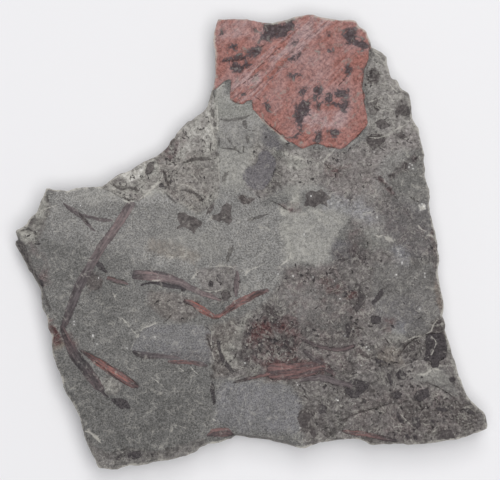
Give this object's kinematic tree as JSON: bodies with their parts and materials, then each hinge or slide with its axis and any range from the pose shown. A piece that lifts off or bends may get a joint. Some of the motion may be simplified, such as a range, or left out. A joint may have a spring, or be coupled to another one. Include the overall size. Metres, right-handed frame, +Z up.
{
  "type": "fossil zosterophyllum plate",
  "caption": "Broken slab of grey siltstone with flattened, forking fossil plant stems on its bedding plane and a red iron-stained corner, for display lying flat.",
  "frame": {"origin": "middle of the underside's bounding box, on the surface that the plate lies on", "axes": "+Z up out of the bedding plane with the fossils, +X along the longest side, +Y towards the red corner"},
  "size_m": [0.1326, 0.1276, 0.0137],
  "materials": {
    "siltstone": "matt broken siltstone"
  },
  "bodies": {
    "root": {"fossil_plate": "siltstone"}
  },
  "joints": []
}
